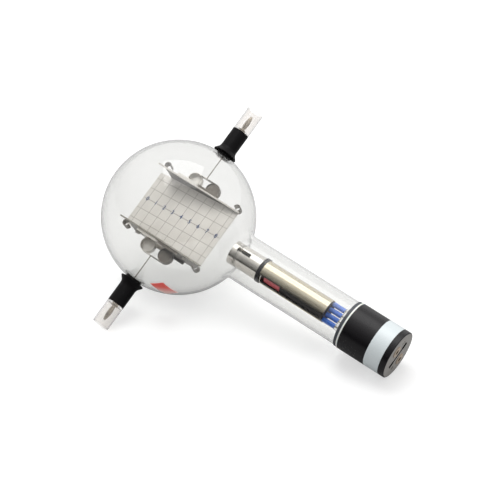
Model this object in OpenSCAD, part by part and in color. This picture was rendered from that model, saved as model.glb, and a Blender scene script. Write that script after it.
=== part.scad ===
// Electron deflection tube: an evacuated glass bulb with a long neck. An electron gun in the neck
// fires a flat beam between two plates in the bulb, along a mica screen that stands 15 degrees
// across the beam and is ruled in centimetre squares. Each plate is fed by a rod through a glass
// side arm under a black boss, with a 4 mm plug in a clear push-on sleeve. The neck ends in a
// black cap with two 4 mm sockets.
// Pieces are drawn about the bulb's centre, with the neck along +X, the arms along Y and the
// ruled side of the screen towards +Z, then laid on the bench as a loose tube comes to rest:
// on the bulb, the rim of the cap and the rim of one sleeve.

/* [Glass] */
// Outside diameter of the bulb
bulb_d = 130; // [126:1:150]
// Thickness of the bulb's glass
bulb_wall = 1.6; // [1.2:0.1:2.4]
// How far the blown bulb's hollow lies off centre, which makes the near side heavier
bulb_uneven = 0.2; // [0:0.05:0.3]
// Outside diameter of the neck
neck_d = 40; // [36:0.5:44]
// Thickness of the neck's glass
neck_wall = 1.8; // [1.2:0.1:2.4]
// Length of the neck from the bulb's outer surface to its end in the cap
neck_l = 122; // [116:1:140]
// Radius of the hollow curve where the neck leaves the bulb
shoulder_r = 9; // [5:0.5:14]
// Outside diameter of the short glass arms
arm_d = 9; // [8:0.5:10]
// Thickness of the arms' glass
arm_wall = 1.5; // [1:0.1:2]
// Length of the glass arms beyond the bulb
arm_l = 8; // [6:0.5:10]

/* [Side arms] */
// Diameter of the black bosses
boss_d = 15; // [14:0.5:18]
// Length of a boss from the bulb's surface to its flat end
boss_l = 25; // [22:0.5:32]
// Diameter of a boss's flared skirt
skirt_d = 21.6; // [19:0.2:24]
// Diameter of the plate rods that pass through the glass
rod_d = 1; // [0.8:0.1:1.5]
// Length of a plug beyond its boss
plug_l = 16.5; // [14:0.5:18]
// Largest diameter of a plug's sprung leaves
plug_d = 4.2; // [3.8:0.1:4.4]
// Outside diameter of the clear sleeves
sleeve_d = 14.8; // [13.6:0.2:16]
// Wall of the clear sleeves
sleeve_wall = 1.1; // [0.8:0.1:1.5]
// Length of the clear sleeves
sleeve_l = 21; // [19:0.5:26]

/* [Plates and screen] */
// Gap between the two deflection plates
plate_gap = 54; // [48:1:56]
// Width of the plates across the beam
plate_w = 28; // [22:1:32]
// Distance from the bulb's centre to the plates' far end
plate_far = 30; // [28:1:33]
// Distance from the bulb's centre to the plates' gun end
plate_near = 42; // [38:0.5:43]
// Thickness of the plates' sheet metal
plate_t = 0.5; // [0.4:0.1:0.8]
// Outer radius of the rolled ends of the plates
curl_r = 3; // [2:0.1:3.2]
// Width of the rolled tab at each end of a deflection plate
roll_w = 8; // [5:0.5:12]
// How far the plate's rear corner by the gun is cut back
corner_cut = 9; // [4:0.5:12]
// Length of the mica screen
screen_l = 90; // [84:1:92]
// Shift of the screen towards the gun
screen_shift = 2; // [1:0.5:3]
// Thickness of the mica screen
screen_t = 0.3; // [0.2:0.1:0.5]
// Angle of the screen to the beam
screen_tilt = 15; // [10:0.5:18]
// Outer radius of the round lobes on the plates' brackets
lobe_r = 6.3; // [5:0.1:6.5]
// Length of a bracket's channel along the plate
saddle_l = 42; // [38:1:44]

/* [Patch] */
// Width of the red patch on the bulb
patch_w = 13; // [8:1:16]
// Length of the red patch on the bulb
patch_l = 22; // [12:1:24]

/* [Gun] */
// Outside diameter of the gun's metal cans
can_d = 20.5; // [19:0.5:24]
// Thickness of the cans' sheet metal
can_t = 0.5; // [0.4:0.1:0.8]
// Length of the anode can
anode_l = 30.5; // [28:0.5:38]
// Length of the cathode can
cathode_l = 65.2; // [60:0.2:68]
// Width of the slit in the anode can's end
slit_w = 1.2; // [0.6:0.1:2]
// Length of the slit in the anode can's end
slit_l = 10; // [6:0.5:14]
// Width of the window in the side of the anode can
window_w = 3.4; // [2:0.2:5]
// Length of the window in the side of the anode can
window_l = 13; // [8:0.5:18]
// Distance from the end of the neck back to the rear of the gun
gun_back = 33; // [30:0.5:38]
// Angle of the open seam in the cathode can
seam_open = 56; // [30:1:80]
// Outside diameter of the dark tube inside the cathode can
heater_d = 16.5; // [14:0.5:17]

/* [Cap] */
// Outside diameter of the cap
cap_d = 42; // [41.5:0.5:48]
// Length of the cap
cap_l = 45; // [40:1:60]
// Length of neck that the cap covers
cap_overlap = 10; // [8:1:14]
// Width of the pale label band
label_w = 14; // [8:1:18]
// Distance between the two sockets
socket_pitch = 19; // [17:0.5:22]
// Bore of the sockets, for 4 mm plugs
socket_bore = 4; // [3.8:0.1:4.2]
// Depth of the sockets' bores
socket_depth = 14; // [10:1:16]
// Thickness of the end plate
end_t = 3; // [2:0.5:5]

/* [Hidden] */
$fn = 64;

// Clearance round a metal piece that is sealed in glass, and between glass pieces
seal_gap = 0.02;
// Clearance between pressed and screwed pieces
fit_gap = 0.05;
// Clearance between a sleeve's end and the boss it is pushed up to
stop_gap = 0.3;

bulb_r = bulb_d / 2;
hollow_r = bulb_r - bulb_wall;
neck_r = neck_d / 2;
neck_in_r = neck_r - neck_wall;
neck_end = bulb_r + neck_l;
arm_r = arm_d / 2;
arm_end = bulb_r + arm_l;

boss_r = boss_d / 2;
boss_end = bulb_r + boss_l;
sleeve_r = sleeve_d / 2;
sleeve_start = boss_end + stop_gap;
sleeve_tip = sleeve_start + sleeve_l;
collar_r = 3;
collar_l = 2.4;
web_t = 1.4;

half_gap = plate_gap / 2;
plate_back = half_gap + plate_t;
half_w = plate_w / 2;
bracket_x = 2;
tab_w = 5;
tab_h = 2.6;
tab_at = saddle_l / 2 + tab_w + 1.5;
slot_gap = 0.15;
lobe_pitch = 18.6;
strip_t = 0.4;
strip_w = 6;
strip_far = 8;
strip_near = 4;
lip_h = 2.6;
lobe_y = plate_back + strip_t + lobe_r - 0.15;
bridge_y = lobe_y + lobe_r - strip_t;
bridge_top = bridge_y + strip_t;

can_r = can_d / 2;
can_in_r = can_r - can_t;
gun_rear = neck_end - gun_back;
cathode_start = gun_rear - cathode_l;
can_break = 0.8;
anode_end = cathode_start - can_break;
anode_start = anode_end - anode_l;
// Direction of the seam round the can, from +Y towards +Z
seam_angle = 153;
ring_out_r = can_r + 0.75;
disc_t = 3;
disc_start = gun_rear - disc_t - 0.5;
focus_x = cathode_start + 2.5;
focus_t = 0.6;
red_start = cathode_start + 5.5;
red_l = 16;
red_out_r = heater_d / 2 - 0.6;
heater_bore_r = 5.2;
lead_pitch = 5;
lead_r = 0.5;
blue_r = 2.1;

press_back = 21;
press_start = neck_end - press_back;
press_l = 8;
press_w = 20;
press_t = 5;
stem_r = 9;
stem_wall = 1.3;
stem_start = press_start + press_l;
stem_tube_end = neck_end - 5;
tip_r = lead_pitch / 2 - lead_r - 0.15;
tip_l = 21;

cap_r = cap_d / 2;
cap_start = neck_end - cap_overlap;
cap_end = cap_start + cap_l;
cap_wall = 2.4;
cap_bevel = 0.5;
rim_x = cap_end - cap_bevel;
ring_w = 1.3;
collar_w = 2.7;
label_end = cap_end - 5.5;
label_start = label_end - label_w;
label_deep = 0.35;
end_r = cap_r - 1;
end_start = cap_end - end_t;
block_l = 8;
block_start = end_start - block_l;
socket_r = 3.2;
flange_r = 4.9;
flange_t = 0.6;
socket_front = cap_end + flange_t;
socket_back = socket_front - socket_depth - 3;
nut_t = 2.5;
screw_y = 9.5;
screw_z = 7.5;
screw_r = 1.1;
screw_head_r = 2;
screw_l = 8;

// How the tube lies: the neck dips until the cap's rim touches the bench, then the tube rolls
// about the neck until the near sleeve's rim touches too
tilt = asin(bulb_r / norm([rim_x, cap_r])) - atan2(cap_r, rim_x);
arm_drop = asin(bulb_r / norm([sleeve_tip, sleeve_r])) - atan2(sleeve_r, sleeve_tip);
roll = asin(sin(arm_drop) / cos(tilt));
reach = cap_end * cos(tilt) + (cap_r - cap_bevel) * sin(tilt);
middle_x = (reach - bulb_r) / 2;

module lying() {
    translate([-middle_x, 0, bulb_r]) rotate([0, tilt, 0]) rotate([roll, 0, 0]) children();
}

// Turns +Z to +X, and starts at a distance along the neck
module along_neck(x = 0) {
    translate([x, 0, 0]) rotate([0, 90, 0]) children();
}

// Turns +Z to +Y, and starts at a distance along the far arm
module along_arm(y = 0) {
    translate([0, y, 0]) rotate([-90, 0, 0]) children();
}

// The far side as drawn, or its mirror image on the near side
module on_side(far) {
    if (far) children();
    else mirror([0, 1, 0]) children();
}

module tube(r, bore_r, l) {
    difference() {
        cylinder(r = r, h = l);
        translate([0, 0, -1]) cylinder(r = bore_r, h = l + 2);
    }
}

// Half outline of a ball with a tube on it and a hollow curve between, axis upwards
module flask_half(ball_r, pipe_r, hollow_r, end) {
    rise = sqrt(pow(ball_r + hollow_r, 2) - pow(pipe_r + hollow_r, 2));
    part = ball_r / (ball_r + hollow_r);
    touch = [(pipe_r + hollow_r) * part, rise * part];
    intersection() {
        translate([0, -ball_r - 1]) square([ball_r + 1, ball_r + end + 1]);
        union() {
            circle(r = ball_r);
            square([pipe_r, end]);
            difference() {
                polygon([
                    touch, [pipe_r, rise], [pipe_r - 2, rise], [pipe_r - 2, touch[1] * 0.9], touch * 0.93,
                ]);
                translate([pipe_r + hollow_r, rise]) circle(r = hollow_r);
            }
        }
    }
}

module glass_envelope() {
    color("azure", 0.3) lying() difference() {
        union() {
            along_neck() rotate_extrude() flask_half(bulb_r, neck_r, shoulder_r, neck_end);
            for (far = [true, false])
                on_side(far) along_arm(bulb_r - bulb_wall / 2) cylinder(r = arm_r, h = arm_l + bulb_wall / 2);
        }
        along_neck() rotate_extrude()
            flask_half(hollow_r - 0.2, neck_in_r, shoulder_r + bulb_wall, neck_end + 1);
        translate([0, bulb_uneven, 0]) sphere(r = hollow_r);
        for (far = [true, false])
            on_side(far) along_arm(bulb_r - 5) cylinder(r = arm_r - arm_wall, h = arm_l + 6);
    }
}

// Re-entrant glass foot that closes the neck: a flare, a tube, the flat press that the leads run
// through, and the sealed-off pumping tube
module glass_stem() {
    flare_r = neck_in_r - fit_gap;
    color("lightcyan", 0.5) lying() difference() {
        union() {
            along_neck() rotate_extrude() polygon([
                [stem_r - stem_wall, stem_start], [stem_r, stem_start], [stem_r, stem_tube_end],
                [flare_r, neck_end - 1.5], [flare_r, neck_end], [flare_r - 1, neck_end],
                [stem_r - stem_wall, stem_tube_end + 1],
            ]);
            along_neck(stem_start - 1) cylinder(r = stem_r, h = 2.4);
            along_neck(press_start) linear_extrude(press_l) {
                square([press_t, press_w - press_t], center = true);
                for (s = [-1, 1]) translate([0, s * (press_w - press_t) / 2]) circle(d = press_t);
            }
            along_neck(stem_start) cylinder(r = tip_r, h = tip_l);
            along_neck(stem_start + tip_l) cylinder(r1 = tip_r, r2 = 0.8, h = 4);
        }
        for (i = [-1.5, -0.5, 0.5, 1.5]) translate([0, i * lead_pitch, 0])
            along_neck(press_start - 1) cylinder(r = lead_r + seal_gap, h = press_l + 6);
    }
}

// Two short outer leads carry the gun, and two long ones run on into the cap
module stem_leads() {
    color("silver") lying() for (i = [-1.5, -0.5, 0.5, 1.5]) {
        outer = abs(i) > 1;
        last = outer ? press_start + press_l : neck_end + 12;
        translate([0, i * lead_pitch, 0]) along_neck(disc_start + 0.5)
            cylinder(r = lead_r, h = last - disc_start - 0.5);
    }
}

module blue_sleeves() {
    color("royalblue") lying() for (i = [-1.5, -0.5, 0.5, 1.5])
        translate([0, i * lead_pitch, 0]) along_neck(gun_rear - 0.3)
            tube(blue_r, lead_r + seal_gap, press_start - gun_rear);
}

// Front can of the gun, closed by a wall with the slit that shapes the flat beam
module anode_can() {
    color("gainsboro") lying() difference() {
        along_neck(anode_start) cylinder(r = can_r, h = anode_l);
        along_neck(anode_start + can_t) cylinder(r = can_in_r, h = anode_l);
        translate([anode_start - 1, -slit_w / 2, -slit_l / 2]) cube([can_t + 2, slit_w, slit_l]);
        rotate([-14, 0, 0]) translate([anode_start + 5, -window_w / 2, 0])
            cube([window_l, window_w, can_r + 1]);
    }
}

// Dark insulating ring that joins the two cans and keeps them apart
module gun_ring() {
    inner = can_r + seal_gap;
    mid = (anode_end + cathode_start) / 2;
    half = can_break / 2 - seal_gap;
    color("black") lying() along_neck() rotate_extrude() polygon([
        [inner, mid - 1.8], [ring_out_r, mid - 1.4], [ring_out_r, mid + 1.4], [inner, mid + 1.8],
        [inner, mid + half], [can_in_r, mid + half], [can_in_r, mid - half], [inner, mid - half],
    ]);
}

// Rolled sheet can whose edges don't meet, so the dark tube shows along the seam
module cathode_can() {
    color("gainsboro") lying() along_neck(cathode_start) rotate([0, 0, 90 + seam_angle + seam_open / 2])
        rotate_extrude(angle = 360 - seam_open) translate([can_in_r, 0]) square([can_t, cathode_l]);
}

module focus_disc() {
    color("silver") lying() along_neck(focus_x) tube(can_in_r - seal_gap, 1.5, focus_t);
}

module red_insulator() {
    color("crimson") lying() along_neck(red_start) tube(red_out_r, heater_bore_r, red_l);
}

module heater_tube() {
    start = red_start + red_l;
    color("black") lying() along_neck(start) tube(heater_d / 2, heater_bore_r, disc_start - start);
}

module rear_disc() {
    color("dimgray") lying() difference() {
        along_neck(disc_start) cylinder(r = can_in_r - seal_gap, h = disc_t);
        for (i = [-1.5, 1.5]) translate([0, i * lead_pitch, 0])
            along_neck(disc_start + 0.5) cylinder(r = lead_r + seal_gap, h = disc_t);
        for (i = [-0.5, 0.5]) translate([0, i * lead_pitch, 0])
            along_neck(disc_start - 1) cylinder(r = lead_r + seal_gap, h = disc_t + 2);
    }
}

// Two posts through the dark tube and a hairpin wire behind the focus disc
module filament() {
    post_start = focus_x + focus_t + 1.6;
    apex = focus_x + focus_t + 0.2;
    spread = lead_pitch / 2;
    rise = post_start + 0.2 - apex;
    color("lightgray") lying() for (s = [-1, 1]) {
        translate([0, s * spread, 0])
            along_neck(post_start) cylinder(r = lead_r, h = disc_start + 0.5 - post_start);
        translate([apex, 0, 0]) rotate([0, 0, s * atan2(spread, rise)]) rotate([0, 90, 0])
            cylinder(r = 0.15, h = norm([spread, rise]));
    }
}

// Sheet with a tab at both ends rolled outwards, seen along Z
module rolled_outline() {
    translate([-plate_far, half_gap]) square([plate_far + plate_near, plate_t]);
    for (end = [[-plate_far, 1], [plate_near, -1]])
        translate([end[0], half_gap + curl_r]) difference() {
            circle(r = curl_r);
            circle(r = curl_r - plate_t);
            translate([end[1] > 0 ? 0 : -curl_r - 1, -curl_r - 1]) square(curl_r + 1);
        }
}

// Flat sheet with its rear corner by the gun cut off at a slant, seen along Y; the front stretch
// has the rolled tabs
module plate() {
    difference() {
        union() {
            translate([0, plate_back, 0]) rotate([90, 0, 0]) linear_extrude(plate_t) polygon([
                [-plate_far, -half_w], [plate_near - corner_cut, -half_w], [plate_near, half_w - roll_w],
                [plate_near, half_w - roll_w / 2], [-plate_far, half_w - roll_w / 2],
            ]);
            translate([0, 0, half_w - roll_w]) linear_extrude(roll_w) rolled_outline();
        }
        rotate([0, -screen_tilt, 0]) translate([-slot_gap, 0, -slot_gap]) for (s = [-1, 1])
            translate([screen_shift + s * tab_at - tab_w / 2, half_gap - 1, -screen_t / 2])
                cube([tab_w + 2 * slot_gap, plate_t + 2, screen_t + 2 * slot_gap]);
    }
}

module far_plate() {
    color("darkgray") lying() plate();
}

module near_plate() {
    color("darkgray") lying() on_side(false) plate();
}

// Channel on the plate's back with a strip that loops into two round lobes and bridges their
// tops, where the rod is welded; the far lobe is closed at its back and the other at its front
module bracket() {
    translate([bracket_x - saddle_l / 2, plate_back, -half_w + 1]) difference() {
        cube([saddle_l, lip_h, plate_w - 2]);
        translate([-1, strip_t, strip_t]) cube([saddle_l + 2, lip_h, plate_w - 2 - 2 * strip_t]);
    }
    translate([0, 0, -strip_w / 2]) linear_extrude(strip_w) {
        for (s = [-0.5, 0.5]) translate([bracket_x + s * lobe_pitch, lobe_y]) difference() {
            circle(r = lobe_r);
            circle(r = lobe_r - strip_t);
        }
        translate([bracket_x - lobe_pitch / 2, bridge_y]) square([lobe_pitch, strip_t]);
    }
    for (s = [-0.5, 0.5]) translate([bracket_x + s * lobe_pitch, lobe_y, s * (strip_w - 2) - strip_t / 2])
        cylinder(r = lobe_r - 0.1, h = strip_t);
}

module far_bracket() {
    color("gray") lying() bracket();
}

module near_bracket() {
    color("gray") lying() on_side(false) bracket();
}

// Ruled sheet whose tabs pass through slots in the plates
module mica_screen() {
    h = plate_gap - 2 * seal_gap;
    color("beige", 0.8) lying() rotate([0, -screen_tilt, 0]) {
        translate([screen_shift - screen_l / 2, -h / 2, -screen_t / 2]) cube([screen_l, h, screen_t]);
        for (s = [-1, 1])
            translate([screen_shift + s * tab_at - tab_w / 2, -half_gap - tab_h, -screen_t / 2])
                cube([tab_w, plate_gap + 2 * tab_h, screen_t]);
    }
}

// Thin metal strip along the front edge of a plate, longer than the plate at both ends
module edge_strip() {
    translate([-plate_far - strip_far, half_gap - strip_t, half_w + seal_gap])
        cube([strip_far + plate_far + plate_near + strip_near, plate_t + 2 * strip_t, screen_t]);
}

module far_strip() {
    color("darkgray") lying() edge_strip();
}

module near_strip() {
    color("darkgray") lying() on_side(false) edge_strip();
}

module rod() {
    along_arm(bridge_top) cylinder(d = rod_d, h = boss_end - 4 - bridge_top);
}

module far_rod() {
    color("silver") lying() rod();
}

module near_rod() {
    color("silver") lying() on_side(false) rod();
}

// Glass bead that closes the arm round the rod
module seal() {
    along_arm(arm_end - 6) tube(arm_r - arm_wall - seal_gap, rod_d / 2 + seal_gap, 6.5);
}

module far_seal() {
    color("lightcyan", 0.6) lying() seal();
}

module near_seal() {
    color("lightcyan", 0.6) lying() on_side(false) seal();
}

// Moulded boss over the glass arm, with a thin flared skirt above the bulb
module boss() {
    skirt_top = bulb_r + 7.6;
    skirt_end = bulb_r + 1.9;
    skirt_r = skirt_d / 2;
    difference() {
        union() {
            along_arm(bulb_r - 3) cylinder(r = boss_r, h = boss_end - bulb_r + 3);
            along_arm() rotate_extrude() polygon([
                [boss_r - 1, skirt_top], [boss_r, skirt_top], [boss_r + 0.5, skirt_top - 2.2],
                [skirt_r, skirt_end], [skirt_r - 0.4, skirt_end - 0.6], [boss_r - 1, skirt_top - 2],
            ]);
        }
        sphere(r = bulb_r + fit_gap);
        along_arm(bulb_r - 5) cylinder(r = arm_r + fit_gap, h = arm_l + 6);
        along_arm(bulb_r) cylinder(r = rod_d / 2 + fit_gap, h = boss_l + 1);
        along_arm(boss_end - 5) cylinder(r = collar_r + seal_gap, h = 6);
    }
}

module far_boss() {
    color("black") lying() boss();
}

module near_boss() {
    color("black") lying() on_side(false) boss();
}

// 4 mm plug: a collar in the boss, a core, and sprung leaves that bulge round it
module plug() {
    root = boss_end + collar_l;
    last = boss_end + plug_l;
    leaf_end = last - 1.8;
    bulge = (root + leaf_end) / 2;
    out_r = plug_d / 2;
    leaf_t = 0.35;
    along_arm(boss_end - 4) cylinder(r = collar_r, h = collar_l + 4);
    along_arm(root) cylinder(r = 0.95, h = plug_l - collar_l - 1);
    along_arm(last - 2.2) cylinder(r1 = 1.45, r2 = 0.8, h = 2.2);
    difference() {
        along_arm() rotate_extrude() polygon([
            [1.1, root - 0.1], [1.6, root - 0.1], [1.6, root + 1], [out_r, bulge - 1.5], [out_r, bulge + 1.5],
            [1.5, leaf_end], [1.1, leaf_end], [out_r - leaf_t, bulge + 1.5], [out_r - leaf_t, bulge - 1.5],
            [1.1, root + 1],
        ]);
        for (a = [0, 90]) rotate([0, a, 0])
            translate([-3, root + 1.6, -0.25]) cube([6, leaf_end - root - 3, 0.5]);
    }
}

module far_plug() {
    color("tan") lying() plug();
}

module near_plug() {
    color("tan") lying() on_side(false) plug();
}

// Clear sleeve, open at its tip, whose inner wall slides on the plug's collar
module sleeve() {
    difference() {
        along_arm(sleeve_start) cylinder(r = sleeve_r, h = sleeve_l);
        along_arm(sleeve_start + web_t) cylinder(r = sleeve_r - sleeve_wall, h = sleeve_l);
        along_arm(sleeve_start - 1) cylinder(r = collar_r + fit_gap, h = web_t + 2);
    }
}

module far_sleeve() {
    color("whitesmoke", 0.4) lying() sleeve();
}

module near_sleeve() {
    color("whitesmoke", 0.4) lying() on_side(false) sleeve();
}

module dark_collar() {
    start = cap_start - ring_w - collar_w;
    color("midnightblue") lying() along_neck(start) tube(cap_r - 0.3, neck_r + fit_gap, collar_w);
}

module white_ring() {
    color("white") lying() along_neck(cap_start - ring_w) tube(cap_r, neck_r + fit_gap, ring_w);
}

// Cap cemented over the end of the neck, grooved for the label and stepped for the end plate
module base_cap() {
    bore_r = cap_r - cap_wall;
    color("black") lying() along_neck() rotate_extrude() polygon([
        [bore_r, neck_end + 1], [neck_r + fit_gap, neck_end + 1], [neck_r + fit_gap, cap_start],
        [cap_r, cap_start], [cap_r, label_start], [cap_r - label_deep, label_start],
        [cap_r - label_deep, label_end], [cap_r, label_end], [cap_r, rim_x],
        [cap_r - cap_bevel, cap_end], [end_r + fit_gap, cap_end], [end_r + fit_gap, end_start],
        [bore_r, end_start],
    ]);
}

module label_band() {
    color("lightsteelblue") lying() along_neck(label_start + fit_gap)
        tube(cap_r, cap_r - label_deep + seal_gap, label_w - 2 * fit_gap);
}

module screw_holes(r, start, l) {
    for (s = [-1, 1]) translate([0, s * screw_y, s * screw_z]) along_neck(start) cylinder(r = r, h = l);
}

module socket_holes(r, start, l) {
    for (s = [-0.5, 0.5]) translate([0, 0, s * socket_pitch]) along_neck(start) cylinder(r = r, h = l);
}

// Block behind the end plate that holds the sockets
module terminal_block() {
    color("dimgray") lying() difference() {
        along_neck(block_start) cylinder(r = cap_r - cap_wall - fit_gap, h = block_l);
        socket_holes(socket_r + fit_gap, block_start - 1, block_l + 2);
        screw_holes(screw_r + seal_gap, block_start - 1, block_l + 2);
    }
}

// Grey disc with a slot across it that widens at both ends
module end_plate() {
    slot_l = 25;
    color("darkgray") lying() difference() {
        along_neck(end_start) cylinder(r = end_r, h = end_t);
        socket_holes(socket_r + fit_gap, end_start - 1, end_t + 2);
        screw_holes(screw_r + seal_gap, end_start - 1, end_t + 2);
        screw_holes(screw_head_r + fit_gap, cap_end - 1.2, 2);
        translate([end_start - 1, -slot_l / 2, -1.6]) cube([end_t + 2, slot_l, 3.2]);
        for (s = [-1, 1]) translate([end_start - 1, s * (slot_l / 2 - 3) - 3, -2.5]) cube([end_t + 2, 6, 5]);
    }
}

module socket(s) {
    translate([0, 0, s * socket_pitch / 2]) difference() {
        union() {
            along_neck(socket_back) cylinder(r = socket_r, h = socket_front - socket_back);
            along_neck(cap_end) cylinder(r = flange_r, h = flange_t);
        }
        along_neck(socket_front - socket_depth) cylinder(d = socket_bore, h = socket_depth + 1);
    }
}

module upper_socket() {
    color("gold") lying() socket(1);
}

module lower_socket() {
    color("gold") lying() socket(-1);
}

module nut(s) {
    translate([0, 0, s * socket_pitch / 2]) difference() {
        along_neck(block_start - nut_t) cylinder(r = 5.2, h = nut_t, $fn = 6);
        along_neck(block_start - nut_t - 1) cylinder(r = socket_r + fit_gap, h = nut_t + 2);
    }
}

module upper_nut() {
    color("gold") lying() nut(1);
}

module lower_nut() {
    color("gold") lying() nut(-1);
}

module screw(s) {
    translate([0, s * screw_y, s * screw_z]) difference() {
        union() {
            along_neck(cap_end - screw_l) cylinder(r = screw_r, h = screw_l);
            along_neck(cap_end - 1.2 + fit_gap) cylinder(r = screw_head_r, h = 1.2 - fit_gap);
        }
        translate([cap_end - 0.5, -2.5, -0.25]) cube([1, 5, 0.5]);
    }
}

module far_screw() {
    color("silver") lying() screw(1);
}

module near_screw() {
    color("silver") lying() screw(-1);
}

// Red paper patch on the outside of the bulb
module red_patch() {
    color("crimson") lying() rotate([0, 0, -64]) rotate([0, -3, 0]) rotate([24, 0, 0]) difference() {
        intersection() {
            sphere(r = bulb_r + 0.2);
            translate([bulb_r / 2, -patch_w / 2, -patch_l / 2]) cube([bulb_r, patch_w, patch_l]);
        }
        sphere(r = bulb_r + seal_gap);
    }
}

glass_envelope();
glass_stem();
stem_leads();
blue_sleeves();
anode_can();
gun_ring();
cathode_can();
focus_disc();
red_insulator();
heater_tube();
rear_disc();
filament();
far_plate();
near_plate();
far_bracket();
near_bracket();
mica_screen();
far_strip();
near_strip();
far_rod();
near_rod();
far_seal();
near_seal();
far_boss();
near_boss();
far_plug();
near_plug();
far_sleeve();
near_sleeve();
dark_collar();
white_ring();
base_cap();
label_band();
terminal_block();
end_plate();
upper_socket();
lower_socket();
upper_nut();
lower_nut();
far_screw();
near_screw();
red_patch();
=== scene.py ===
"""An electron deflection tube that lies loose on a pale bench, on its bulb, its cap and one sleeve.

Pieces follow in the order in which such a tube is put together. Shapes are worked out in the
tube's own frame, in millimetres: the bulb's centre at the origin, +X along the neck, +Y along the
far side arm and +Z out of the ruled side of the screen. Shaders work in metres, so the scale of a
pattern is how many of its marks lie in a metre, and a comment gives their width in millimetres.
"""
import math

import bmesh
import bpy
import numpy as np
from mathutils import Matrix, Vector


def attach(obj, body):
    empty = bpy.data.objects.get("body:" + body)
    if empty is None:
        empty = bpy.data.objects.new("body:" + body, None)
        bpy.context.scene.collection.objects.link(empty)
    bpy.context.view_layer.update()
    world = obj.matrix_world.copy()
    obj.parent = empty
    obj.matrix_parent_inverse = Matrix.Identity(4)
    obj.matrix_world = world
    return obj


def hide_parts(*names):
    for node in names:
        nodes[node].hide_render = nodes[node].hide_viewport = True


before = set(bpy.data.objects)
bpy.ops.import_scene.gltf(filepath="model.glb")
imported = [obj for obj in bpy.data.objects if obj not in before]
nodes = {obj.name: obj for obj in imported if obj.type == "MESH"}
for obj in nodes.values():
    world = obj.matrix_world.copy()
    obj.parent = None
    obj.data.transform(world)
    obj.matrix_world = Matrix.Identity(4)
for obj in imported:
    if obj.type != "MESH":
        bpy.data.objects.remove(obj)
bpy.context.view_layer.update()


# The bench: a wide sheet of white paper under the tube, which takes its soft shadow. It burns out
# to white, and more so with distance, so that it meets the white room without a line. Metal and
# mouldings mirror it dimmer.
def linear(code):
    """The linear colour of an sRGB hex code: each channel goes through the sRGB curve."""
    c = np.array([int(code[i:i + 2], 16) / 255 for i in (1, 3, 5)])
    c = np.where(c <= 0.04045, c / 12.92, ((c + 0.055) / 1.055) ** 2.4)
    return (*c.tolist(), 1.0)


def add(tree, kind, settings=None, inputs=None):
    """Adds a node with its settings, and its inputs as values or as sockets to link from."""
    made = tree.nodes.new(kind)
    for name, value in (settings or {}).items():
        setattr(made, name, value)
    for name, value in (inputs or {}).items():
        if isinstance(value, bpy.types.NodeSocket):
            tree.links.new(value, made.inputs[name])
        else:
            made.inputs[name].default_value = value
    return made


def start_material(name):
    """An empty material and its node tree."""
    made = bpy.data.materials.new(name)
    made.use_nodes = True
    made.node_tree.nodes.clear()
    return made, made.node_tree


def end_material(tree, surface, volume=None):
    """Joins the surface shader, and the volume shader of a see-through solid, to the output."""
    output = add(tree, "ShaderNodeOutputMaterial", {}, {"Surface": surface})
    if volume:
        tree.links.new(volume, output.inputs["Volume"])


def by_eye(tree):
    """1 for what the eye sees, straight or through glass, and 0 for the rest: the larger of the
    flags of camera rays and transmission rays."""
    path = add(tree, "ShaderNodeLightPath")
    return add(tree, "ShaderNodeMath", {"operation": "MAXIMUM"},
               {0: path.outputs["Is Camera Ray"], 1: path.outputs["Is Transmission Ray"]}).outputs[0]


def mirrored(tree):
    """1 for what something glossy mirrors, and 0 for the rest: the count of glossy bounces on the
    way, but 1 at most."""
    path = add(tree, "ShaderNodeLightPath")
    return add(tree, "ShaderNodeMath", {"operation": "MINIMUM"},
               {0: path.outputs["Glossy Depth"], 1: 1.0}).outputs[0]


def build_mesh(name, points, faces, material, smooth=True):
    """An object at the origin whose mesh has these points, in metres, and these faces."""
    mesh = bpy.data.meshes.new(name)
    mesh.from_pydata(np.asarray(points).tolist(), [], np.asarray(faces).tolist())
    mesh.polygons.foreach_set("use_smooth", np.full(len(mesh.polygons), smooth))
    mesh.materials.append(material)
    made = bpy.data.objects.new(name, mesh)
    bpy.context.scene.collection.objects.link(made)
    return made


# Half the sheet's side and the distances between which its glow grows, in metres
SHEET = 3.0
NEAR_BENCH, FAR_BENCH = 0.5, 1.8
NEAR_GLOW, FAR_GLOW, MIRRORED_GLOW = 0.56, 0.92, 0.46

paper, tree = start_material("white_bench_paper")
place = add(tree, "ShaderNodeTexCoord")
reach = add(tree, "ShaderNodeVectorMath", {"operation": "LENGTH"}, {0: place.outputs["Object"]})
outward = add(tree, "ShaderNodeMapRange", {},
              {"Value": reach.outputs["Value"], "From Min": NEAR_BENCH, "From Max": FAR_BENCH,
               "To Min": NEAR_GLOW, "To Max": FAR_GLOW})
level = add(tree, "ShaderNodeMix", {"data_type": "FLOAT"},
            {"Factor": mirrored(tree), "A": outward.outputs[0], "B": MIRRORED_GLOW})
glow = add(tree, "ShaderNodeMath", {"operation": "MULTIPLY"}, {0: by_eye(tree), 1: level.outputs[0]})
sheet = add(tree, "ShaderNodeBsdfDiffuse", {}, {"Color": linear("#b8b8b8")})
light = add(tree, "ShaderNodeEmission", {}, {"Color": linear("#ffffff"), "Strength": glow.outputs[0]})
both = add(tree, "ShaderNodeAddShader", {}, {0: sheet.outputs[0], 1: light.outputs[0]})
end_material(tree, both.outputs[0])
corners = [(-SHEET, -SHEET, 0), (SHEET, -SHEET, 0), (SHEET, SHEET, 0), (-SHEET, SHEET, 0)]
bench = build_mesh("bench", corners, [(0, 1, 2, 3)], paper, False)

# The studio: an even white room. What glass and metal mirror of it is bright above and beyond the
# bench, and falls away to a dark end behind the photographer. The rise of a direction upwards and
# away from the photographer, Z plus Y, says how far along that fall it looks.

# Strength of the room as light on the tube, and as it is seen behind it
ROOM_LIGHT, ROOM_SEEN = 0.62, 1.0

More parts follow.
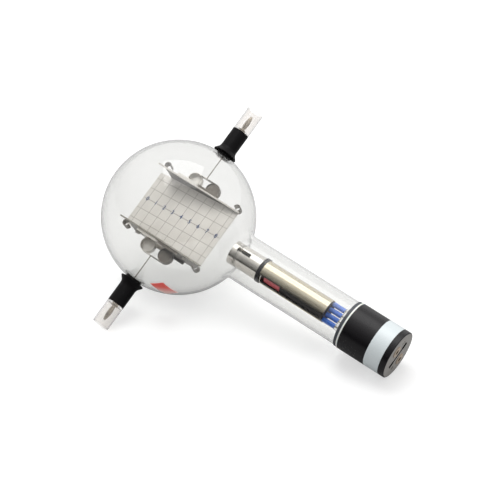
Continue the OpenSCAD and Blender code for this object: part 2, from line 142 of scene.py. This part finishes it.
world = bpy.data.worlds.new("studio")
world.use_nodes = True
tree = world.node_tree
tree.nodes.clear()
way = add(tree, "ShaderNodeTexCoord")
parts = add(tree, "ShaderNodeSeparateXYZ", {}, {0: way.outputs["Generated"]})
lift = add(tree, "ShaderNodeMath", {"operation": "ADD"}, {0: parts.outputs["Z"], 1: parts.outputs["Y"]})
dusk = add(tree, "ShaderNodeMapRange", {"interpolation_type": "SMOOTHSTEP"},
           {"Value": lift.outputs[0], "From Min": -0.85, "From Max": -0.35, "To Min": 0.02, "To Max": 0.36})
bright = add(tree, "ShaderNodeMapRange", {"interpolation_type": "SMOOTHSTEP"},
             {"Value": lift.outputs[0], "From Min": -0.30, "From Max": 0.75, "To Min": 0.0, "To Max": 0.68})
room = add(tree, "ShaderNodeMath", {"operation": "ADD"}, {0: dusk.outputs[0], 1: bright.outputs[0]})
plain = add(tree, "ShaderNodeMix", {"data_type": "FLOAT"},
            {"Factor": by_eye(tree), "A": ROOM_LIGHT, "B": ROOM_SEEN})
strength = add(tree, "ShaderNodeMix", {"data_type": "FLOAT"},
               {"Factor": mirrored(tree), "A": plain.outputs[0], "B": room.outputs[0]})
air = add(tree, "ShaderNodeBackground", {}, {"Color": linear("#ffffff"), "Strength": strength.outputs[0]})
add(tree, "ShaderNodeOutputWorld", {}, {"Surface": air.outputs[0]})
bpy.context.scene.world = world

# The lamp: one broad square soft box over the bench, a little behind and to the left of the tube,
# facing down at it. It is dimmer where it is mirrored, so its image on the glass stays soft.

# Places and the lamp's side in metres, its power in watts, and its share where it is mirrored
BOX_PLACE, BOX_TARGET = (-0.15, 0.25, 1.0), (0, 0, 0.05)
BOX_SIDE, BOX_WATTS, BOX_MIRRORED = 0.8, 9.0, 0.3

lamp = bpy.data.lights.new("overhead_box", "AREA")
lamp.shape = "RECTANGLE"
lamp.size = BOX_SIDE
lamp.size_y = BOX_SIDE
lamp.energy = BOX_WATTS
lamp.use_nodes = True
tree = lamp.node_tree
tree.nodes.clear()
level = add(tree, "ShaderNodeMix", {"data_type": "FLOAT"},
            {"Factor": mirrored(tree), "A": 1.0, "B": BOX_MIRRORED})
lit = add(tree, "ShaderNodeEmission", {}, {"Strength": level.outputs[0]})
add(tree, "ShaderNodeOutputLight", {}, {"Surface": lit.outputs[0]})
overhead = bpy.data.objects.new("overhead_box", lamp)
overhead.location = BOX_PLACE
toward = Vector(np.subtract(BOX_TARGET, BOX_PLACE).tolist())
overhead.rotation_euler = toward.to_track_quat("-Z", "Y").to_euler()
bpy.context.scene.collection.objects.link(overhead)

# The camera stands in front and to the right of the tube and looks down at it through a long
# lens. Its place, turn and lens were fitted to the bulb, the neck, the cap and the arms as they
# are photographed.
camera = bpy.data.objects.new("camera", bpy.data.cameras.new("camera"))
camera.data.lens = 137.16
camera.data.sensor_width = 36.0
camera.location = (0.70688, -1.01838, 1.01075)
camera.rotation_euler = (math.radians(52.6624), math.radians(-0.1636), math.radians(35.0952))
bpy.context.scene.collection.objects.link(camera)
bpy.context.scene.camera = camera
bpy.context.scene.view_settings.view_transform = "Standard"

# The glass envelope: a bulb blown on to a length of tubing, with a soft hollow curve between them
# and two short side arms fused on. It is clear borosilicate, with a faint neutral grey depth where
# it is seen edge on and the slight waves of hand-worked glass, about 36 mm long.

# Radii, walls and distances from the bulb's centre, in millimetres
BULB, WALL, UNEVEN = 65.0, 1.6, 0.2
NECK, NECK_INSIDE, NECK_END = 20.0, 18.2, 187.0
SHOULDER = 9.0
ARM, ARM_BORE, ARM_START, ARM_END = 4.5, 3.0, 64.6, 73.0
CAP, CAP_END, CAP_BEVEL = 21.0, 222.0, 0.5
SLEEVE, SLEEVE_TIP = 7.4, 111.3
# Rows of the profile on each stretch, points round each ring, and the lengths of the last short
# stretch and of the stretch over which the hollow evens out
BALL_ROWS, FILLET_ROWS, PIPE_ROWS = 72, 14, 16
LAST_STRETCH = 0.3
ROUND, ROUND_ARM = 160, 48
EVEN_OUT = 20.0


def dip(along, out):
    """Angle that brings a rim, this far along an axis and this far out from it, as low as the
    bulb when the tube turns about the bulb's centre: the angle whose sine is the bulb's radius
    over the rim's distance from the centre, less the rim's own angle off the axis."""
    return math.asin(BULB / math.hypot(along, out)) - math.atan2(out, along)


# How the loose tube lies: the neck dips until the cap's rim touches the bench, then the tube rolls
# about the neck until the near sleeve's rim touches too
TILT = dip(CAP_END - CAP_BEVEL, CAP)
ROLL = math.asin(math.sin(dip(SLEEVE_TIP, SLEEVE)) / math.cos(TILT))
MIDDLE = (CAP_END * math.cos(TILT) + (CAP - CAP_BEVEL) * math.sin(TILT) - BULB) / 2


def lay(points):
    """Tube frame in millimetres to the bench in metres: roll about the neck, tip the neck down,
    and shift so that the bulb touches the bench."""
    cos_roll, sin_roll = math.cos(ROLL), math.sin(ROLL)
    cos_tilt, sin_tilt = math.cos(TILT), math.sin(TILT)
    rolled = np.array([[1, 0, 0], [0, cos_roll, -sin_roll], [0, sin_roll, cos_roll]])
    tipped = np.array([[cos_tilt, 0, sin_tilt], [0, 1, 0], [-sin_tilt, 0, cos_tilt]])
    return (np.asarray(points, float) @ (tipped @ rolled).T + [-MIDDLE, 0, BULB]) / 1000


def flask(ball, pipe, hollow, end):
    """Half outline of a ball on a pipe as rows of distance and radius: an arc of the ball from its
    pole, an arc of the hollow fillet tangent to both, and the straight pipe, with a last short
    stretch that keeps the pipe's shading straight up to its cut end."""
    rise = math.sqrt((ball + hollow) ** 2 - (pipe + hollow) ** 2)
    meet = math.atan2(pipe + hollow, rise)
    a = np.linspace(math.pi, meet, BALL_ROWS)
    b = np.linspace(meet + math.pi, 1.5 * math.pi, FILLET_ROWS)[1:]
    ball_arc = np.stack([ball * np.cos(a), ball * np.sin(a)], 1)
    fillet = np.stack([rise + hollow * np.cos(b), pipe + hollow + hollow * np.sin(b)], 1)
    ball_arc[0, 1] = 0
    run = np.append(np.linspace(rise, end - LAST_STRETCH, PIPE_ROWS)[1:], end)
    return np.vstack([ball_arc, fillet, np.stack([run, pipe + 0 * run], 1)])


def turned(profile, steps, axis=0):
    """Surface of revolution: each profile row of distance s and radius r gives a ring of points
    s along the axis and r from it. Rings join to quads, and the last ring to the first if the
    profile ends where it starts."""
    s, r = profile[:, 0, None], profile[:, 1, None]
    t = np.linspace(0, 2 * math.pi, steps, endpoint=False)[None, :]
    ring = np.stack([s + 0 * t, r * np.cos(t), r * np.sin(t)], 2).reshape(-1, 3)
    i, j = np.meshgrid(np.arange(len(profile) - 1), np.arange(steps), indexing="ij")
    k = (j + 1) % steps
    quads = np.stack([i * steps + j, i * steps + k, (i + 1) * steps + k, (i + 1) * steps + j], 2)
    return np.roll(ring, axis, 1), quads.reshape(-1, 4)


def weld(piece):
    """Merges the points that meet at poles and seams."""
    work = bmesh.new()
    work.from_mesh(piece.data)
    bmesh.ops.remove_doubles(work, verts=work.verts, dist=1e-7)
    work.to_mesh(piece.data)
    work.free()
    return piece


def tube_space(tree):
    """Object coordinates turned back into the tube's frame, in metres."""
    place = add(tree, "ShaderNodeTexCoord")
    return add(tree, "ShaderNodeMapping", {"vector_type": "TEXTURE"},
               {"Vector": place.outputs["Object"], "Location": (-MIDDLE / 1000, 0, BULB / 1000),
                "Rotation": (ROLL, TILT, 0)}).outputs[0]


glass, tree = start_material("borosilicate_glass")
wave = add(tree, "ShaderNodeTexNoise", {}, {"Vector": tube_space(tree), "Scale": 28.0, "Detail": 1.0})
ripple = add(tree, "ShaderNodeBump", {}, {"Strength": 0.10, "Distance": 0.0008, "Height": wave.outputs[0]})
body = add(tree, "ShaderNodeBsdfPrincipled", {},
           {"Base Color": linear("#f1f1f0"), "Roughness": 0.0, "IOR": 1.47,
            "Transmission Weight": 1.0, "Normal": ripple.outputs[0]})
clear = add(tree, "ShaderNodeBsdfTransparent", {}, {"Color": linear("#f3f4f3")})
lamp_ray = add(tree, "ShaderNodeLightPath")
mix = add(tree, "ShaderNodeMixShader", {},
          {0: lamp_ray.outputs["Is Shadow Ray"], 1: body.outputs[0], 2: clear.outputs[0]})
depth = add(tree, "ShaderNodeVolumeAbsorption", {}, {"Color": linear("#c1c0bd"), "Density": 6.0})
end_material(tree, mix.outputs[0], depth.outputs[0])

# The hollow lies off centre in the ball, and evens out on its way into the neck
outside = flask(BULB, NECK, SHOULDER, NECK_END)
inside = flask(BULB - WALL, NECK_INSIDE, SHOULDER + WALL, NECK_END)
points, faces = turned(np.vstack([outside, inside[::-1]]), ROUND)
hollow = points[len(outside) * ROUND:]
hollow[:, 1] += UNEVEN * np.clip((BULB - WALL - hollow[:, 0]) / EVEN_OUT, 0, 1)

# An arm's wall as a closed outline, with its open end rounded in the flame
arm = np.array([[ARM_START, ARM_BORE], [ARM_START, ARM], [ARM_END - 0.6, ARM], [ARM_END, ARM - 0.4],
                [ARM_END, ARM_BORE + 0.4], [ARM_END - 0.4, ARM_BORE], [ARM_START, ARM_BORE]])
for side in (1, -1):
    ring, quads = turned(arm, ROUND_ARM, 1)
    ring[:, 1] *= side
    faces = np.vstack([faces, (quads if side > 0 else quads[:, ::-1]) + len(points)])
    points = np.vstack([points, ring])
envelope = weld(build_mesh("blown_glass_envelope", lay(points), faces, glass))
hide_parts("glass_envelope")
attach(envelope, "tube")


# The stem that closes the neck and the seals in the side arms: the same glass as the envelope,
# worked hot. The stem is pressed flat round the leads, and each seal is melted on to its rod.
def dress(material, *names):
    """Gives CAD pieces this material in place of their plain one."""
    for name in names:
        nodes[name].data.materials.clear()
        nodes[name].data.materials.append(material)


dress(glass, "glass_stem", "far_seal", "near_seal")

# The leads, the filament with its posts, the plate rods, the near plate's edge strip and the end
# plate's screws: drawn nickel, bright, its shine a little broken by drawing marks. Real marks are
# too fine to show, so these are 0.4 mm wide.
wire, tree = start_material("drawn_nickel_wire")
marks = add(tree, "ShaderNodeTexNoise", {}, {"Vector": tube_space(tree), "Scale": 2500.0, "Detail": 2.0})
rough = add(tree, "ShaderNodeMapRange", {}, {"Value": marks.outputs[0], "To Min": 0.18, "To Max": 0.34})
body = add(tree, "ShaderNodeBsdfPrincipled", {},
           {"Base Color": linear("#a8a49c"), "Metallic": 1.0, "Roughness": rough.outputs[0]})
end_material(tree, body.outputs[0])
dress(wire, "stem_leads", "filament", "far_rod", "near_rod", "near_strip", "far_screw", "near_screw")

# Blue sleeving on the four leads behind the gun: woven glass fibre in dyed varnish, pushed on, a
# satin skin with the braid just showing. A real braid is too fine to show, so its slanting bands
# are 0.9 mm apart.
sleeving, tree = start_material("varnished_glass_sleeving")
braid = add(tree, "ShaderNodeTexWave", {"wave_type": "BANDS", "bands_direction": "DIAGONAL"},
            {"Vector": tube_space(tree), "Scale": 420.0, "Distortion": 2.0})
shade = add(tree, "ShaderNodeMix", {"data_type": "RGBA"},
            {"Factor": braid.outputs[1], "A": linear("#2553b0"), "B": linear("#4179d6")})
relief = add(tree, "ShaderNodeBump", {}, {"Strength": 0.4, "Distance": 0.0001, "Height": braid.outputs[1]})
body = add(tree, "ShaderNodeBsdfPrincipled", {},
           {"Base Color": shade.outputs["Result"], "Roughness": 0.42, "Normal": relief.outputs[0]})
end_material(tree, body.outputs[0])
dress(sleeving, "blue_sleeves")


# The disc that closes the rear can and holds the posts: dark ceramic, pressed and fired, matt. Its
# grain is 1.3 mm wide, because the real one is too fine to show.
def mottled(name, scale, detail, dark, pale, finish):
    """A material whose colour drifts between two tones: at each point they are mixed by the value
    of a noise with this scale and detail. The finish holds the shader's other inputs."""
    made, tree = start_material(name)
    grain = add(tree, "ShaderNodeTexNoise", {},
                {"Vector": tube_space(tree), "Scale": scale, "Detail": detail})
    tint = add(tree, "ShaderNodeMix", {"data_type": "RGBA"},
               {"Factor": grain.outputs[0], "A": linear(dark), "B": linear(pale)})
    body = add(tree, "ShaderNodeBsdfPrincipled", {}, {"Base Color": tint.outputs["Result"], **finish})
    end_material(tree, body.outputs[0])
    return made


ceramic = mottled("dark_ceramic", 800.0, 3.0, "#14110f", "#2a2420", {"Roughness": 0.55})
dress(ceramic, "rear_disc")

# The tube round the heater, seen along the rear can's open seam: drawn steel, with a dull sheen
# and a mottle 2 mm wide. Its near-black is painted shade, which keeps the seam as dark as the
# shade inside the can.
# Painted shade: near black, so that the open seam reads dark
seam_painted_shade = mottled("steel_with_painted_shade", 500.0, 3.0, "#050302", "#120c08",
                {"Specular IOR Level": 0.3, "Roughness": 0.32})
dress(seam_painted_shade, "heater_tube")

# The bush in front of it, seen along the same seam: red ceramic, pressed and fired, with a satin
# surface that is paler where its grain, 1.4 mm wide, takes the light.
red_ceramic = mottled("red_ceramic", 700.0, 3.0, "#b02a30", "#e07a80", {"Roughness": 0.45})
dress(red_ceramic, "red_insulator")


# The front can, the focus disc and the far plate's edge strip: thin nickel sheet, spun and
# polished, which mirrors the room in long bands. The rings of the mandrel are 0.7 mm wide, because
# real ones are too fine to show.
def spun_nickel(name, colour):
    """Polished sheet of this colour, roughened and embossed by a noise that is stretched fifty
    times across the neck, so that its marks run round it as rings."""
    metal, tree = start_material(name)
    rings = add(tree, "ShaderNodeMapping", {}, {"Vector": tube_space(tree), "Scale": (1.0, 0.02, 0.02)})
    lines = add(tree, "ShaderNodeTexNoise", {}, {"Vector": rings.outputs[0], "Scale": 1400.0, "Detail": 3.0})
    rough = add(tree, "ShaderNodeMapRange", {}, {"Value": lines.outputs[0], "To Min": 0.08, "To Max": 0.22})
    relief = add(tree, "ShaderNodeBump", {},
                 {"Strength": 0.12, "Distance": 0.0001, "Height": lines.outputs[0]})
    body = add(tree, "ShaderNodeBsdfPrincipled", {},
               {"Base Color": linear(colour), "Metallic": 1.0, "Roughness": rough.outputs[0],
                "Normal": relief.outputs[0]})
    end_material(tree, body.outputs[0])
    return metal


dress(spun_nickel("polished_nickel_sheet", "#e0dcd5"), "anode_can", "focus_disc", "far_strip")

# The rear can: the same sheet, rolled to a tube whose edges don't meet, and warmed to a pale straw
# colour by the heater inside it.
dress(spun_nickel("straw_nickel_sheet", "#d8cfb9"), "cathode_can")

# The ring between the cans, the cap cemented over the neck and the block in it: black phenolic
# moulding, hard and smooth, with a soft sheen. The faint mottle of its filler is 1.1 mm wide.
moulding, tree = start_material("black_phenolic_moulding")
filler = add(tree, "ShaderNodeTexNoise", {}, {"Vector": tube_space(tree), "Scale": 900.0, "Detail": 4.0})
tint = add(tree, "ShaderNodeMix", {"data_type": "RGBA"},
           {"Factor": filler.outputs[0], "A": linear("#030104"), "B": linear("#0b080d")})
rough = add(tree, "ShaderNodeMapRange", {}, {"Value": filler.outputs[0], "To Min": 0.22, "To Max": 0.36})
relief = add(tree, "ShaderNodeBump", {}, {"Strength": 0.15, "Distance": 0.0001, "Height": filler.outputs[0]})
body = add(tree, "ShaderNodeBsdfPrincipled", {},
           {"Base Color": tint.outputs["Result"], "Roughness": rough.outputs[0], "IOR": 1.5,
            "Specular IOR Level": 0.35, "Normal": relief.outputs[0]})
end_material(tree, body.outputs[0])
dress(moulding, "gun_ring", "base_cap", "terminal_block")

# The deflection plates: nickel sheet, cut, rolled up at its ends and left as it came from the
# mill, duller and darker than the cans. Its lengthwise rolling marks are 0.7 mm wide, because real
# ones are too fine to show.
plate_metal, tree = start_material("rolled_nickel_sheet")
along = add(tree, "ShaderNodeMapping", {}, {"Vector": tube_space(tree), "Scale": (0.03, 1.0, 1.0)})
lines = add(tree, "ShaderNodeTexNoise", {}, {"Vector": along.outputs[0], "Scale": 1500.0, "Detail": 3.0})
shade = add(tree, "ShaderNodeMix", {"data_type": "RGBA"},
            {"Factor": lines.outputs[0], "A": linear("#6d6862"), "B": linear("#8f8a83")})
rough = add(tree, "ShaderNodeMapRange", {}, {"Value": lines.outputs[0], "To Min": 0.26, "To Max": 0.42})
body = add(tree, "ShaderNodeBsdfPrincipled", {},
           {"Base Color": shade.outputs["Result"], "Metallic": 1.0, "Roughness": rough.outputs[0]})
end_material(tree, body.outputs[0])
dress(plate_metal, "far_plate", "near_plate")

# The brackets on the plates' backs: the same sheet, cut to strip, bent and spot-welded. They are
# painted bright on the side away from the gun, a painted reflection that stands in for how their
# curled lobes there mirror the white room, and darker towards the gun, in clouds 4 mm wide.

# Places along the neck between which the painted reflection gives way to the darker tone, in metres
BRIGHT_UP_TO, DULL_FROM = -0.001, 0.004

bracket_painted_reflection_sheet, tree = start_material("nickel_sheet_with_painted_reflection")
spot = add(tree, "ShaderNodeSeparateXYZ", {}, {0: tube_space(tree)})
# Painted reflection: a mask that is 0 away from the gun, where the sheet is painted bright, and 1 towards it
painted_reflection_mask = add(tree, "ShaderNodeMapRange", {"interpolation_type": "SMOOTHSTEP"},
           {"Value": spot.outputs["X"], "From Min": BRIGHT_UP_TO, "From Max": DULL_FROM})
dim_side_clouds = add(tree, "ShaderNodeTexNoise", {}, {"Vector": tube_space(tree), "Scale": 240.0, "Detail": 3.0})
dim_side_tone = add(tree, "ShaderNodeMix", {"data_type": "RGBA"},
           {"Factor": dim_side_clouds.outputs[0], "A": linear("#5a544e"), "B": linear("#8a847c")})
shade = add(tree, "ShaderNodeMix", {"data_type": "RGBA"},
            {"Factor": painted_reflection_mask.outputs[0], "A": linear("#d6d2cb"), "B": dim_side_tone.outputs["Result"]})
body = add(tree, "ShaderNodeBsdfPrincipled", {},
           {"Base Color": shade.outputs["Result"], "Metallic": 1.0, "Roughness": 0.34})
end_material(tree, body.outputs[0])
dress(bracket_painted_reflection_sheet, "far_bracket", "near_bracket")

# The screen: a sheet of mica, split thin and held by tabs in the plates' slots, pale and a little
# cloudy. Its layers lift in flakes about 11 mm wide, under clouds about 18 mm wide.
mica, tree = start_material("split_mica_sheet")
flakes = add(tree, "ShaderNodeTexVoronoi", {"feature": "F1"}, {"Vector": tube_space(tree), "Scale": 90.0})
cloud = add(tree, "ShaderNodeTexNoise", {}, {"Vector": tube_space(tree), "Scale": 55.0, "Detail": 3.0})
both = add(tree, "ShaderNodeMath", {"operation": "MULTIPLY"}, {0: flakes.outputs[0], 1: cloud.outputs[0]})
shade = add(tree, "ShaderNodeMix", {"data_type": "RGBA"},
            {"Factor": both.outputs[0], "A": linear("#d9d5cf"), "B": linear("#c6c1bb")})
body = add(tree, "ShaderNodeBsdfPrincipled", {},
           {"Base Color": shade.outputs["Result"], "Roughness": 0.28, "IOR": 1.58,
            "Transmission Weight": 0.15})
end_material(tree, body.outputs[0])
dress(mica, "mica_screen")

# The ruling: thin grey ink printed on the mica, nine lines across the beam and five along it, one
# centimetre apart, with ticks every two millimetres on the middle line. The ink is paler in
# patches 2.5 mm wide, where it has taken less well.

# Slope across the beam, and sizes and places on the ruled face, in millimetres
SLOPE = math.radians(15.0)
SCREEN_FACE, SCREEN_SHIFT = 0.15, 2.0
RULED_LONG, RULED_WIDE = 89.0, 53.0
SQUARE, FIRST_LINE, MIDDLE_LINE = 10.0, -38.2, 1.0
LINES_ACROSS, LINES_ALONG, LINE = 9, 5, 0.30
TICKS, TICK_STEP, TICK_LONG, TICK_LINE = 41, 2.0, 1.6, 0.22
INK_THICK = 0.03


def on_screen(along, across, above):
    """Points on the ruled face: along the slope, across it, and above the mica."""
    h = above + SCREEN_FACE
    return np.stack([along * math.cos(SLOPE) - h * math.sin(SLOPE), across,
                     along * math.sin(SLOPE) + h * math.cos(SLOPE)], -1)


def bars(centres, sizes, thick):
    """Flat bars on the screen, each a box with its centre (along, across) and its size."""
    corner = np.array([[x, y, z] for x in (-0.5, 0.5) for y in (-0.5, 0.5) for z in (0, 1)], float)
    box = corner[None] * np.stack([sizes[:, 0], sizes[:, 1], 0 * sizes[:, 0] + thick], 1)[:, None]
    flat = box[:, :, :2] + centres[:, None]
    points = on_screen(flat[:, :, 0], flat[:, :, 1], box[:, :, 2]).reshape(-1, 3)
    six = np.array([[0, 1, 3, 2], [4, 6, 7, 5], [0, 4, 5, 1], [2, 3, 7, 6], [0, 2, 6, 4], [1, 5, 7, 3]])
    return points, (six[None] + 8 * np.arange(len(centres))[:, None, None]).reshape(-1, 4)


ink = mottled("grey_printing_ink", 400.0, 2.0, "#6c6660", "#8c867e", {"Roughness": 0.6})
across_lines = FIRST_LINE + SQUARE * np.arange(LINES_ACROSS)
along_lines = MIDDLE_LINE + SQUARE * (np.arange(LINES_ALONG) - LINES_ALONG // 2)
ticks = FIRST_LINE + TICK_STEP * np.arange(TICKS)
centres = np.vstack([np.stack([across_lines, np.zeros(LINES_ACROSS)], 1),
                     np.stack([np.full(LINES_ALONG, SCREEN_SHIFT), along_lines], 1),
                     np.stack([ticks, np.full(TICKS, MIDDLE_LINE)], 1)])
sizes = np.vstack([np.tile([LINE, RULED_WIDE], (LINES_ACROSS, 1)),
                   np.tile([RULED_LONG, LINE], (LINES_ALONG, 1)),
                   np.tile([TICK_LINE, TICK_LONG], (TICKS, 1))])
points, faces = bars(centres, sizes, INK_THICK)
ruling = build_mesh("screen_ruling", lay(points), faces, ink, False)
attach(ruling, "tube")

# The numbers: plain numerals from 0 to 8, printed in blue ink where each line across the beam
# meets the middle line. They lie just over the ruling, and the ink is patchy in the same way.
NUMERAL_HIGH, NUMERAL_BOLD, NUMERAL_THICK, NUMERAL_LIFT = 5.4, 0.12, 0.02, 0.06

blue_ink = mottled("blue_printing_ink", 400.0, 2.0, "#26355c", "#42527c", {"Roughness": 0.6})
for count, at in enumerate(across_lines):
    curve = bpy.data.curves.new(f"numeral_{count}", "FONT")
    curve.body = str(count)
    curve.size = NUMERAL_HIGH
    curve.offset = NUMERAL_BOLD
    curve.extrude = NUMERAL_THICK
    curve.align_x = "CENTER"
    curve.align_y = "CENTER"
    carrier = bpy.data.objects.new(f"numeral_{count}_text", curve)
    bpy.context.scene.collection.objects.link(carrier)
    bpy.context.view_layer.update()
    mesh = bpy.data.meshes.new_from_object(carrier)
    bpy.data.objects.remove(carrier)
    flat = np.zeros(len(mesh.vertices) * 3)
    mesh.vertices.foreach_get("co", flat)
    flat = flat.reshape(-1, 3)
    placed = lay(on_screen(flat[:, 0] + at, flat[:, 1] + MIDDLE_LINE, flat[:, 2] + NUMERAL_LIFT))
    mesh.vertices.foreach_set("co", placed.ravel())
    mesh.materials.clear()
    mesh.materials.append(blue_ink)
    numeral = bpy.data.objects.new(f"numeral_{count}", mesh)
    bpy.context.scene.collection.objects.link(numeral)
    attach(numeral, "tube")

# The bosses over the glass arms: soft black rubber, moulded with a thin flared skirt and pushed
# on. It is deeper in colour than the cap and almost without sheen, with a bloom in patches 2 mm
# wide.
rubber = mottled("soft_black_rubber", 500.0, 4.0, "#020202", "#0b090c",
                 {"Specular IOR Level": 0.12, "Roughness": 0.42})
dress(rubber, "far_boss", "near_boss")

# The plugs: turned brass under nickel, with four sprung leaves, pressed into the bosses. The
# plating is warm grey and bright, and its turning marks are 0.8 mm wide, because real ones are too
# fine to show.
plug_metal = mottled("nickel_plated_brass", 1200.0, 2.0, "#a39a8c", "#c4bcb0",
                     {"Metallic": 1.0, "Roughness": 0.24})
dress(plug_metal, "far_plug", "near_plug")

# The sleeves: clear polycarbonate, moulded with a web at the inner end that slides on the plug's
# collar. It is glossy, with scuffs from handling that are 1.7 mm wide.
clear_plastic, tree = start_material("clear_polycarbonate")
scuffs = add(tree, "ShaderNodeTexNoise", {}, {"Vector": tube_space(tree), "Scale": 600.0, "Detail": 4.0})
rough = add(tree, "ShaderNodeMapRange", {}, {"Value": scuffs.outputs[0], "To Min": 0.02, "To Max": 0.16})
body = add(tree, "ShaderNodeBsdfPrincipled", {},
           {"Base Color": linear("#f3f1ef"), "Roughness": rough.outputs[0], "IOR": 1.58,
            "Transmission Weight": 1.0})
through = add(tree, "ShaderNodeBsdfTransparent", {}, {"Color": linear("#f0eeec")})
lamp_ray = add(tree, "ShaderNodeLightPath")
mix = add(tree, "ShaderNodeMixShader", {},
          {0: lamp_ray.outputs["Is Shadow Ray"], 1: body.outputs[0], 2: through.outputs[0]})
end_material(tree, mix.outputs[0])
dress(clear_plastic, "far_sleeve", "near_sleeve")

# The collar in the mouth of the cap, slipped over the neck to cushion the glass: dark grey
# silicone, cut from tube, matt and dusty in patches 1.5 mm wide.
silicone = mottled("grey_silicone", 650.0, 3.0, "#34373c", "#4c5055", {"Roughness": 0.6})
dress(silicone, "dark_collar")

# The white ring between the collar and the cap: a turned nylon washer, slightly waxy, so that a
# little light sinks in. Its tone drifts over about 3 mm.
nylon = mottled("white_nylon", 300.0, 2.0, "#dcdcd6", "#efefea",
                {"Roughness": 0.4, "Subsurface Weight": 0.1, "Subsurface Scale": 0.002})
dress(nylon, "white_ring")

# The label band, wrapped round the cap's groove: plain pale blue-grey paper under a clear film,
# which gives it a thin gloss. Its fibres are 0.7 mm wide, because real ones are too fine to show.
label = mottled("filmed_label_paper", 1500.0, 4.0, "#c9d1d3", "#dfe6e8",
                {"Roughness": 0.38, "Coat Weight": 0.25, "Coat Roughness": 0.2})
dress(label, "label_band")

# The end plate: a punched disc of black fibre board with a grey printed face, held by two screws,
# matt, with a fibrous grain 0.9 mm wide. The black core shows where the slot and the holes are
# punched, below a skin of 0.10 to 0.15 mm.

# Place of the printed face along the neck, and depths below it, in metres
FACE = 0.222
SKIN_ENDS, CORE_STARTS = 0.00010, 0.00015

fibre_board, tree = start_material("grey_faced_fibre_board")
grain = add(tree, "ShaderNodeTexNoise", {}, {"Vector": tube_space(tree), "Scale": 1100.0, "Detail": 4.0})
grey = add(tree, "ShaderNodeMix", {"data_type": "RGBA"},
           {"Factor": grain.outputs[0], "A": linear("#918d89"), "B": linear("#bbb8b4")})
black = add(tree, "ShaderNodeMix", {"data_type": "RGBA"},
            {"Factor": grain.outputs[0], "A": linear("#050403"), "B": linear("#15110e")})
spot = add(tree, "ShaderNodeSeparateXYZ", {}, {0: tube_space(tree)})
skin = add(tree, "ShaderNodeMapRange", {},
           {"Value": spot.outputs["X"], "From Min": FACE - CORE_STARTS, "From Max": FACE - SKIN_ENDS})
shade = add(tree, "ShaderNodeMix", {"data_type": "RGBA"},
            {"Factor": skin.outputs[0], "A": black.outputs["Result"], "B": grey.outputs["Result"]})
relief = add(tree, "ShaderNodeBump", {}, {"Strength": 0.2, "Distance": 0.0001, "Height": grain.outputs[0]})
body = add(tree, "ShaderNodeBsdfPrincipled", {},
           {"Base Color": shade.outputs["Result"], "Roughness": 0.55, "Normal": relief.outputs[0]})
end_material(tree, body.outputs[0])
dress(fibre_board, "end_plate")

# The sockets, held by nuts behind the end plate: turned brass, pale and bright on the flanges. The
# turning marks are 0.6 mm wide, because real ones are too fine to show.
brass = mottled("turned_brass", 1600.0, 2.0, "#c6ad92", "#e6d6c3", {"Metallic": 1.0, "Roughness": 0.26})
dress(brass, "upper_socket", "lower_socket", "upper_nut", "lower_nut")

# The patch on the bulb: a plain piece of red gummed paper, stuck on by hand. Towards its lower
# edge, where it is nearest the bench, it is painted pale pink: a painted highlight. Its fibres are
# 1.1 mm wide, because real ones are too fine to show.

# Heights above the bench between which the painted highlight sets in, in metres
HIGHLIGHT_STARTS_BELOW, HIGHLIGHT_FULL_BELOW = 0.037, 0.025

red_paper, tree = start_material("red_gummed_paper")
fibre = add(tree, "ShaderNodeTexNoise", {}, {"Vector": tube_space(tree), "Scale": 900.0, "Detail": 4.0})
shade = add(tree, "ShaderNodeMix", {"data_type": "RGBA"},
            {"Factor": fibre.outputs[0], "A": linear("#ee4a44"), "B": linear("#ff766c")})
place = add(tree, "ShaderNodeTexCoord")
height = add(tree, "ShaderNodeSeparateXYZ", {}, {0: place.outputs["Object"]})
# Painted highlight: the red is painted pale pink below these heights
painted_highlight_mask = add(tree, "ShaderNodeMapRange", {"interpolation_type": "SMOOTHSTEP"},
          {"Value": height.outputs["Z"], "From Min": HIGHLIGHT_STARTS_BELOW, "From Max": HIGHLIGHT_FULL_BELOW})
red_with_painted_highlight = add(tree, "ShaderNodeMix", {"data_type": "RGBA"},
            {"Factor": painted_highlight_mask.outputs[0], "A": shade.outputs["Result"], "B": linear("#ffd2cd")})
body = add(tree, "ShaderNodeBsdfPrincipled", {}, {"Base Color": red_with_painted_highlight.outputs["Result"], "Roughness": 0.6})
end_material(tree, body.outputs[0])
dress(red_paper, "red_patch")
